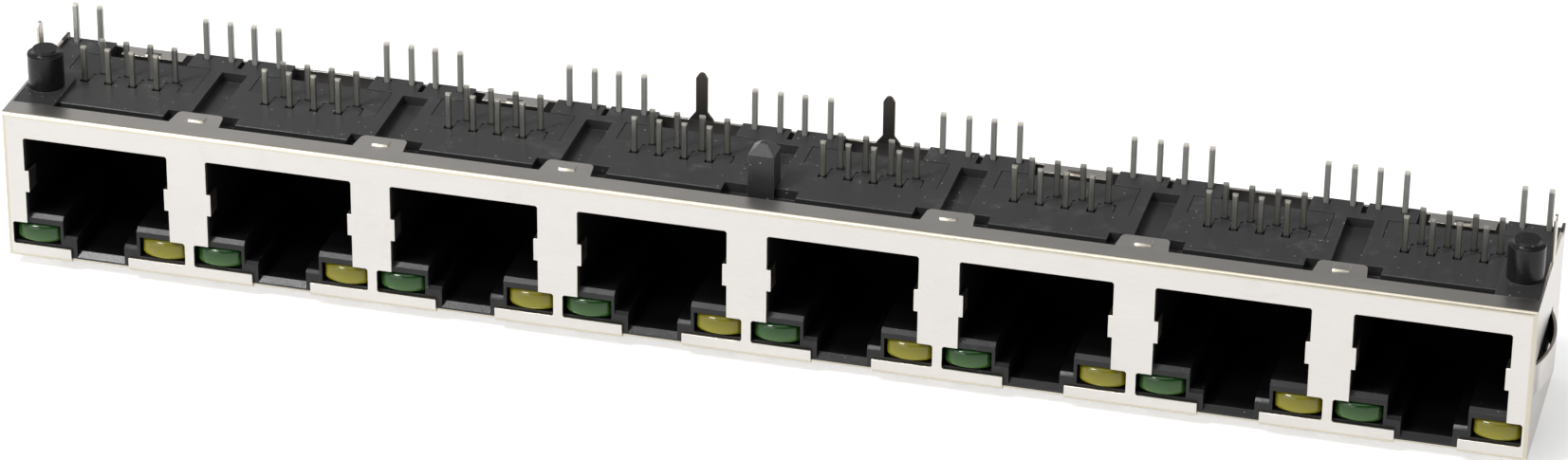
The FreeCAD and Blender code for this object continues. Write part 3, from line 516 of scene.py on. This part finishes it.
def grown(name, routes, **inputs):
    """The plain mesh that the tree of bent wires makes of some routes."""
    guide = bpy.data.meshes.new(f"{name}_routes")
    corners = [corner for route in routes for corner in route]
    runs, first = [], 0
    for route in routes:
        runs += [(first + number, first + number + 1) for number in range(len(route) - 1)]
        first += len(route)
    guide.from_pydata(corners, runs, [])
    holder = bpy.data.objects.new(f"{name}_guide", guide)
    bpy.context.scene.collection.objects.link(holder)
    modifier = holder.modifiers.new("Wires", "NODES")
    modifier.node_group = shared("Bent wires")
    for socket in modifier.node_group.interface.items_tree:
        if socket.in_out == "INPUT" and socket.name in inputs:
            modifier[socket.identifier] = inputs[socket.name]
    ready = holder.evaluated_get(bpy.context.evaluated_depsgraph_get())
    mesh = bpy.data.meshes.new_from_object(ready)
    mesh.name = name
    bpy.data.objects.remove(holder)
    bpy.data.meshes.remove(guide)
    mesh.shade_smooth()
    mesh.set_sharp_from_angle(angle=SHARP_ON_WIRE)
    return mesh


def whole_faces(node):
    """A copy of a CAD node's mesh with its loose triangles joined and its flat faces whole."""
    bm = bmesh.new()
    bm.from_mesh(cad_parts[node].data)
    bmesh.ops.remove_doubles(bm, verts=bm.verts, dist=WELD)
    bmesh.ops.dissolve_limit(bm, angle_limit=FLAT, verts=bm.verts, edges=bm.edges)
    return bm


def break_edges(bm, radius, segments=2):
    """Round the sharp edges and mark the faces that this makes, for the materials."""
    mask = bm.faces.layers.float.new(EDGE)
    sharp = [edge for edge in bm.edges if edge.is_manifold and edge.calc_face_angle(0.0) > SHARP]
    made = bmesh.ops.bevel(bm, geom=sharp, offset=radius, offset_type="OFFSET", segments=segments,
                           profile=0.5, affect="EDGES", clamp_overlap=True, loop_slide=False)
    for face in made["faces"]:
        face[mask] = 1.0


def mark_sheared(bm, thickness):
    """Mark the narrow faces where the sheet was cut through; a thickness of 0 marks none."""
    mask = bm.faces.layers.float[EDGE]
    for face in bm.faces:
        if face[mask] == 0.0 and 2 * face.calc_area() < thickness * face.calc_perimeter():
            face[mask] = SHEARED


def smooth_mesh(bm, name, angle=SHARP):
    """A mesh of what was built, smooth but for its edges sharper than the angle."""
    mesh = bpy.data.meshes.new(name)
    for face in bm.faces:
        face.smooth = True
    bm.to_mesh(mesh)
    bm.free()
    mesh.set_sharp_from_angle(angle=angle)
    return mesh


def finished(name, mesh, materials, slot, *nodes):
    """A piece that rides on the root body, takes the given finishes and stands for CAD nodes."""
    piece = bpy.data.objects.new(name, mesh)
    bpy.context.scene.collection.objects.link(piece)
    chosen = [face.material_index for face in mesh.polygons]
    mesh.materials.clear()
    for material in materials:
        mesh.materials.append(material)
    mesh.polygons.foreach_set("material_index", chosen)
    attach(piece, ROOT)
    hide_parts(*nodes)
    return piece


def softened(bm, node, name, radius, materials, slot, choose=None, sheet=0.0):
    """Break the edges of a CAD node's copy and finish it as a piece, evenly shaded.

    choose gives a face's place in the list of materials from the face and its middle. sheet is
    the widest face taken for a cut through sheet metal.
    """
    break_edges(bm, radius)
    mark_sheared(bm, sheet)
    for face in bm.faces:
        face.material_index = choose(face, face.calc_center_median()) if choose else 0
    piece = finished(name, smooth_mesh(bm, name), materials, slot, node)
    even = piece.modifiers.new("Even shading", "WEIGHTED_NORMAL")
    even.keep_sharp = True


def front_and_board():
    """The moulding's front along Y and its board side along Z, from the CAD nodes' boxes."""
    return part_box("housing")[0].y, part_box("contact_insert_1")[1].z + CARRIER_DROP


def moulded_finish(face, spot, front, board):
    """Smooth for the round pegs and the latch slots' bevels, darker with painted shade for the
    sockets' walls.
    """
    if spot.z > board + PEG_FOOT and abs(spot.x) > PEG_REACH:
        return SMOOTH
    if spot.y > front + RIM and spot.z < board - SKIN:
        return SHADED
    slanted = abs(face.normal.y + face.normal.z) < 0.1 and face.normal.z > 0.5
    return SMOOTH if slanted and spot.z < board - SLOT_BEVEL else BLACK


def blunt_pegs(bm, chamfer, change):
    """Pull the tips of the two round pegs out and up into the blunter shape of the photo."""
    margin = 0.05 * MM
    top = max(vert.co.z for vert in bm.verts)
    for side in (-1.0, 1.0):
        tip = [vert for vert in bm.verts
               if vert.co.z > top - LEVEL and side * vert.co.x > PEG_REACH]
        middle = sum((vert.co for vert in tip), Vector()) / len(tip)
        radius = max((vert.co - middle).length for vert in tip)
        for vert in bm.verts:
            out = vert.co - middle
            near = out.to_2d().length < radius + chamfer + margin
            if near and abs(out.z + chamfer) < LEVEL:
                vert.co.z += change
        for vert in tip:
            vert.co = middle + (vert.co - middle) * (1.0 + change / radius)


def contact_routes(low, high, sizes):
    """The routes of a socket's first front wire and first back wire: tail, forward run, turn
    and slanting spring arm."""
    half = sizes.wire_thickness / 2
    routes = []
    for number, row in enumerate((sizes.row_front, sizes.row_back)):
        x = low.x + sizes.wire_width / 2 + number * sizes.pitch
        run = high.z - sizes.run_drop
        routes.append([(x, low.y + row, high.z), (x, low.y + row, run), (x, low.y + half, run),
                       (x, low.y + half, high.z - sizes.arm_drop),
                       (x, high.y - half / 4, low.z + half)])
    return routes


def lens_mesh(name, low, high, bow, edge):
    """A rectangular lamp with a bowed front; the painted reflection attribute grows down the
    front.
    """
    steps, segments, rim, reflection_reach = 8, 5, 1.1 * edge, 1.6 * MM
    middle, sweep = (low.x + high.x) / 2, math.asin((high.x - low.x) / 2 / bow)
    plan = []
    for number in range(steps + 1):
        turn = sweep * (2 * number / steps - 1)
        plan.append((middle + bow * math.sin(turn), low.y + bow * (1 - math.cos(turn))))
    plan += [(high.x, high.y), (low.x, high.y)]
    bm = bmesh.new()
    glow = bm.verts.layers.float.new(PAINTED_REFLECTION)
    rings = []
    for level in (low.z, low.z + rim, (low.z + high.z) / 2, high.z - rim, high.z):
        rings.append([bm.verts.new((across, along, level)) for across, along in plan])
    for lower, upper in zip(rings, rings[1:]):
        for number in range(len(plan)):
            after = (number + 1) % len(plan)
            bm.faces.new((lower[number], lower[after], upper[after], upper[number]))
    bm.faces.new(rings[-1])
    bm.faces.new(reversed(rings[0]))
    bmesh.ops.recalc_face_normals(bm, faces=bm.faces)
    break_edges(bm, edge, segments)
    for vert in bm.verts:
        down = max(0.0, (high.z - vert.co.z) / (high.z - low.z))
        back = max(0.0, (vert.co.y - low.y) / reflection_reach)
        # Painted reflection: its share grows down the front and fades behind it.
        vert[glow] = max(0.0, 1.25 * down ** 1.3 - 0.4 * back ** 2)
    return smooth_mesh(bm, name, SHARP_ON_LAMP)


class JACK_OT_moulding(bpy.types.Operator):
    """Dress the housing with broken edges and grained black plastic"""
    bl_idname = "jack.moulding"
    bl_label = "Moulded housing"

    def execute(self, context):
        look, edges = context.scene.jack_finishes, context.scene.jack_edges
        front, board = front_and_board()
        black = plastic("Black moulding", look.moulding, 0.3, 8000.0, 0.35, front, board)
        smooth = plastic("Polished pegs", look.peg, 0.2, 6000.0, 0.5, front, board)
        # Painted shade: a darker copy of the black for the sockets' walls, which moulded_finish
        # chooses.
        shaded = plastic("Socket walls, painted shade", look.hollow, 0.7, 8000.0, 0.1, front, board, gloss=0.08)
        bm = whole_faces("housing")
        blunt_pegs(bm, edges.peg_chamfer, edges.peg_change)
        softened(bm, "housing", "moulded_housing", edges.moulding, [black, smooth, shaded],
                 "moulding", lambda face, spot: moulded_finish(face, spot, front, board))
        return {"FINISHED"}


class JACK_OT_carriers(bpy.types.Operator):
    """Dress the comb-edged contact carriers"""
    bl_idname = "jack.carriers"
    bl_label = "Contact carriers"

    def execute(self, context):
        look, edges = context.scene.jack_finishes, context.scene.jack_edges
        grey = plastic("Grey carrier", look.carrier, 0.5, 9500.0, 0.3, *front_and_board())
        for port in range(1, PORTS + 1):
            node = f"contact_insert_{port}"
            softened(whole_faces(node), node, f"contact_carrier_{port}", edges.carrier, [grey],
                     "insert")
        return {"FINISHED"}


class JACK_OT_shields(bpy.types.Operator):
    """Dress the folded front shield and the rear shield with plated sheet metal"""
    bl_idname = "jack.shields"
    bl_label = "Sheet-metal shields"

    def execute(self, context):
        look, edges = context.scene.jack_finishes, context.scene.jack_edges
        plated = sheet_metal("Plated sheet", look.shield, 0.3)
        dull = sheet_metal("Dull blade", look.blade, 0.42)
        softened(whole_faces("front_shield"), "front_shield", "folded_front_shield", edges.sheet,
                 [plated], "shield", sheet=edges.sheared)
        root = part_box("rear_shield")[1].z - BLADE
        bm = whole_faces("rear_shield")
        bmesh.ops.bisect_plane(bm, geom=bm.verts[:] + bm.edges[:] + bm.faces[:],
                               plane_co=(0.0, 0.0, root), plane_no=(0.0, 0.0, 1.0))
        softened(bm, "rear_shield", "rear_cover", edges.sheet, [plated, dull], "shield",
                 lambda face, spot: int(spot.z > root), edges.sheared)
        return {"FINISHED"}


class JACK_OT_contacts(bpy.types.Operator):
    """Bend the eight contact wires of each socket along their routes"""
    bl_idname = "jack.contacts"
    bl_label = "Contact wires"

    def execute(self, context):
        look, sizes = context.scene.jack_finishes, context.scene.jack_wires
        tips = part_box("contacts_1")[1].z
        plated = wire_metal("Contact plating", look.tin, tips,
                            arms=(look.gold, tips - PLATING_ALONE, tips - PLATING_BEGINS))
        for port in range(1, PORTS + 1):
            low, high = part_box(f"contacts_{port}")
            name = f"contact_wires_{port}"
            mesh = grown(name, contact_routes(low, high, sizes), Width=sizes.wire_width,
                         Thickness=sizes.wire_thickness, Edge=sizes.wire_edge,
                         Bend=sizes.wire_bend, Count=WIRES_IN_ROW, Step=2 * sizes.pitch,
                         Finish=plated)
            finished(name, mesh, [plated], "contact", f"contacts_{port}")
        return {"FINISHED"}


class JACK_OT_lamps(bpy.types.Operator):
    """Mould the green and yellow lamps with their bowed fronts"""
    bl_idname = "jack.lamps"
    bl_label = "Indicator lamps"

    def execute(self, context):
        look, edges = context.scene.jack_finishes, context.scene.jack_edges
        for tint, base, pale in (("green", look.green, look.green_reflection),
                                 ("yellow", look.yellow, look.yellow_reflection)):
            material = epoxy(f"{tint.capitalize()} epoxy", base, pale)
            for port in range(1, PORTS + 1):
                low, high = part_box(f"{tint}_led_{port}")
                name = f"{tint}_lamp_{port}"
                mesh = lens_mesh(name, low, high, edges.lamp_bow, edges.lamp)
                finished(name, mesh, [material], f"{tint}_lamp", f"{tint}_led_{port}")
        return {"FINISHED"}


class JACK_OT_leads(bpy.types.Operator):
    """Bend the two leads of each lamp"""
    bl_idname = "jack.leads"
    bl_label = "Lamp leads"

    def execute(self, context):
        look, sizes = context.scene.jack_finishes, context.scene.jack_wires
        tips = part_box("green_led_leads_1")[1].z
        tinned = wire_metal("Tinned lead", look.lead, tips, metal=0.45)
        half = sizes.lead_size / 2
        for tint in ("green", "yellow"):
            for port in range(1, PORTS + 1):
                low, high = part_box(f"{tint}_led_leads_{port}")
                x, up = low.x + half, high.y - half
                route = [(x, low.y, low.z + half), (x, up, low.z + half), (x, up, high.z)]
                name = f"{tint}_lamp_leads_{port}"
                mesh = grown(name, [route], Width=sizes.lead_size, Thickness=sizes.lead_size,
                             Edge=sizes.lead_edge, Bend=sizes.lead_bend, Count=LEADS_OF_LAMP,
                             Step=high.x - low.x - sizes.lead_size, Finish=tinned)
                finished(name, mesh, [tinned], "lamp_lead", f"{tint}_led_leads_{port}")
        return {"FINISHED"}


class JACK_OT_studio(bpy.types.Operator):
    """Build the floor, the room, the soft lamps and the camera"""
    bl_idname = "jack.studio"
    bl_label = "Studio"

    def execute(self, context):
        studio = context.scene.jack_studio
        self.make_room(context.scene, studio)
        self.make_floor(context.scene, studio)
        self.make_lamps(context.scene)
        self.make_camera(context.scene, studio)
        context.scene.view_settings.view_transform = "Standard"
        return {"FINISHED"}

    def make_room(self, scene, studio):
        """A white horizon, which metal reflects, under a ceiling that dims to the right.

        The camera sees plain white in its place, also through what is clear.
        """
        world = bpy.data.worlds.new("Studio room")
        scene.world = world
        world.use_nodes = True
        tree = world.node_tree
        tree.nodes.clear()
        spot = add(tree, "ShaderNodeTexCoord").outputs["Generated"]
        way = add(tree, "ShaderNodeSeparateXYZ", Vector=spot).outputs
        grey = (studio.ceiling,) * 3
        ceiling = blend(tree, ramp(tree, way["X"], *CEILING), rgba(grey, LIT), rgba(grey, DIM))
        tone = blend(tree, ramp(tree, way["Z"], *HORIZON), WHITE, ceiling)
        room = add(tree, "ShaderNodeBackground", Color=tone, Strength=1.0).outputs[0]
        white = add(tree, "ShaderNodeBackground", Color=WHITE, Strength=1.0).outputs[0]
        path = add(tree, "ShaderNodeLightPath").outputs
        seen = maths(tree, "MAXIMUM", path["Is Camera Ray"], path["Is Transmission Ray"])
        shown = add(tree, "ShaderNodeMixShader", i0=seen, i1=room, i2=white).outputs[0]
        add(tree, "ShaderNodeOutputWorld", Surface=shown)

    def make_floor(self, scene, studio):
        """A pale floor that keeps the object's shadow and adds light for camera and gloss."""
        bm = bmesh.new()
        bmesh.ops.create_grid(bm, x_segments=1, y_segments=1, size=FLOOR_HALF)
        mesh = bpy.data.meshes.new("studio_floor")
        bm.to_mesh(mesh)
        bm.free()
        floor = bpy.data.objects.new("studio_floor", mesh)
        scene.collection.objects.link(floor)
        material = bpy.data.materials.new("Pale floor")
        material.use_nodes = True
        tree = material.node_tree
        shader = tree.nodes["Principled BSDF"]
        shader.inputs["Base Color"].default_value = rgba((studio.floor,) * 3)
        shader.inputs["Roughness"].default_value = 0.9
        shader.inputs["Specular IOR Level"].default_value = 0.1
        path = add(tree, "ShaderNodeLightPath").outputs
        gleam = maths(tree, "MULTIPLY", path["Is Glossy Ray"], studio.floor_gleam)
        light = maths(tree, "MULTIPLY_ADD", path["Is Camera Ray"], studio.floor_glow, gleam)
        glow = add(tree, "ShaderNodeEmission", Color=WHITE, Strength=light).outputs[0]
        both = add(tree, "ShaderNodeAddShader", i0=shader.outputs[0], i1=glow).outputs[0]
        tree.links.new(both, tree.nodes["Material Output"].inputs["Surface"])
        mesh.materials.append(material)

    def make_lamps(self, scene):
        """Square soft lamps that all face the object."""
        for name, place, size, power in LAMPS:
            light = bpy.data.lights.new(name, "AREA")
            light.energy, light.size = power, size
            lamp = bpy.data.objects.new(name, light)
            lamp.location = place
            lamp.rotation_euler = (-Vector(place)).to_track_quat("-Z", "Y").to_euler()
            scene.collection.objects.link(lamp)

    def make_camera(self, scene, studio):
        """The camera at the photo's viewing angle."""
        data = bpy.data.cameras.new("Camera")
        data.sensor_fit, data.sensor_width, data.lens = "HORIZONTAL", SENSOR, studio.lens
        data.clip_start, data.clip_end = NEAREST, FURTHEST
        camera = bpy.data.objects.new("Camera", data)
        camera.location = studio.place
        camera.rotation_euler = studio.turn
        scene.collection.objects.link(camera)
        scene.camera = camera


OPERATORS = (JACK_OT_moulding, JACK_OT_carriers, JACK_OT_shields, JACK_OT_contacts,
             JACK_OT_lamps, JACK_OT_leads, JACK_OT_studio)
SETTINGS = {"jack_finishes": JackFinishes, "jack_wires": JackWires, "jack_edges": JackEdges,
            "jack_studio": JackStudio}


class JACK_PT_panel(bpy.types.Panel):
    """Settings and steps of the board jack"""
    bl_label = "Board jack"
    bl_idname = "JACK_PT_panel"
    bl_space_type = "VIEW_3D"
    bl_region_type = "UI"
    bl_category = "Board jack"

    def draw(self, context):
        for name, kind in SETTINGS.items():
            box = self.layout.box()
            for setting in kind.__annotations__:
                box.prop(getattr(context.scene, name), setting)
        for operator in OPERATORS:
            self.layout.operator(operator.bl_idname)


CLASSES = (*SETTINGS.values(), *OPERATORS, JACK_PT_panel)


def register():
    for kind in CLASSES:
        bpy.utils.register_class(kind)
    for name, kind in SETTINGS.items():
        setattr(bpy.types.Scene, name, bpy.props.PointerProperty(type=kind))


def unregister():
    for name in SETTINGS:
        delattr(bpy.types.Scene, name)
    for kind in reversed(CLASSES):
        bpy.utils.unregister_class(kind)


def main():
    register()
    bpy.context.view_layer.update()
    for operator in OPERATORS:
        family, name = operator.bl_idname.split(".")
        getattr(getattr(bpy.ops, family), name)()


if __name__ == "__main__":
    main()
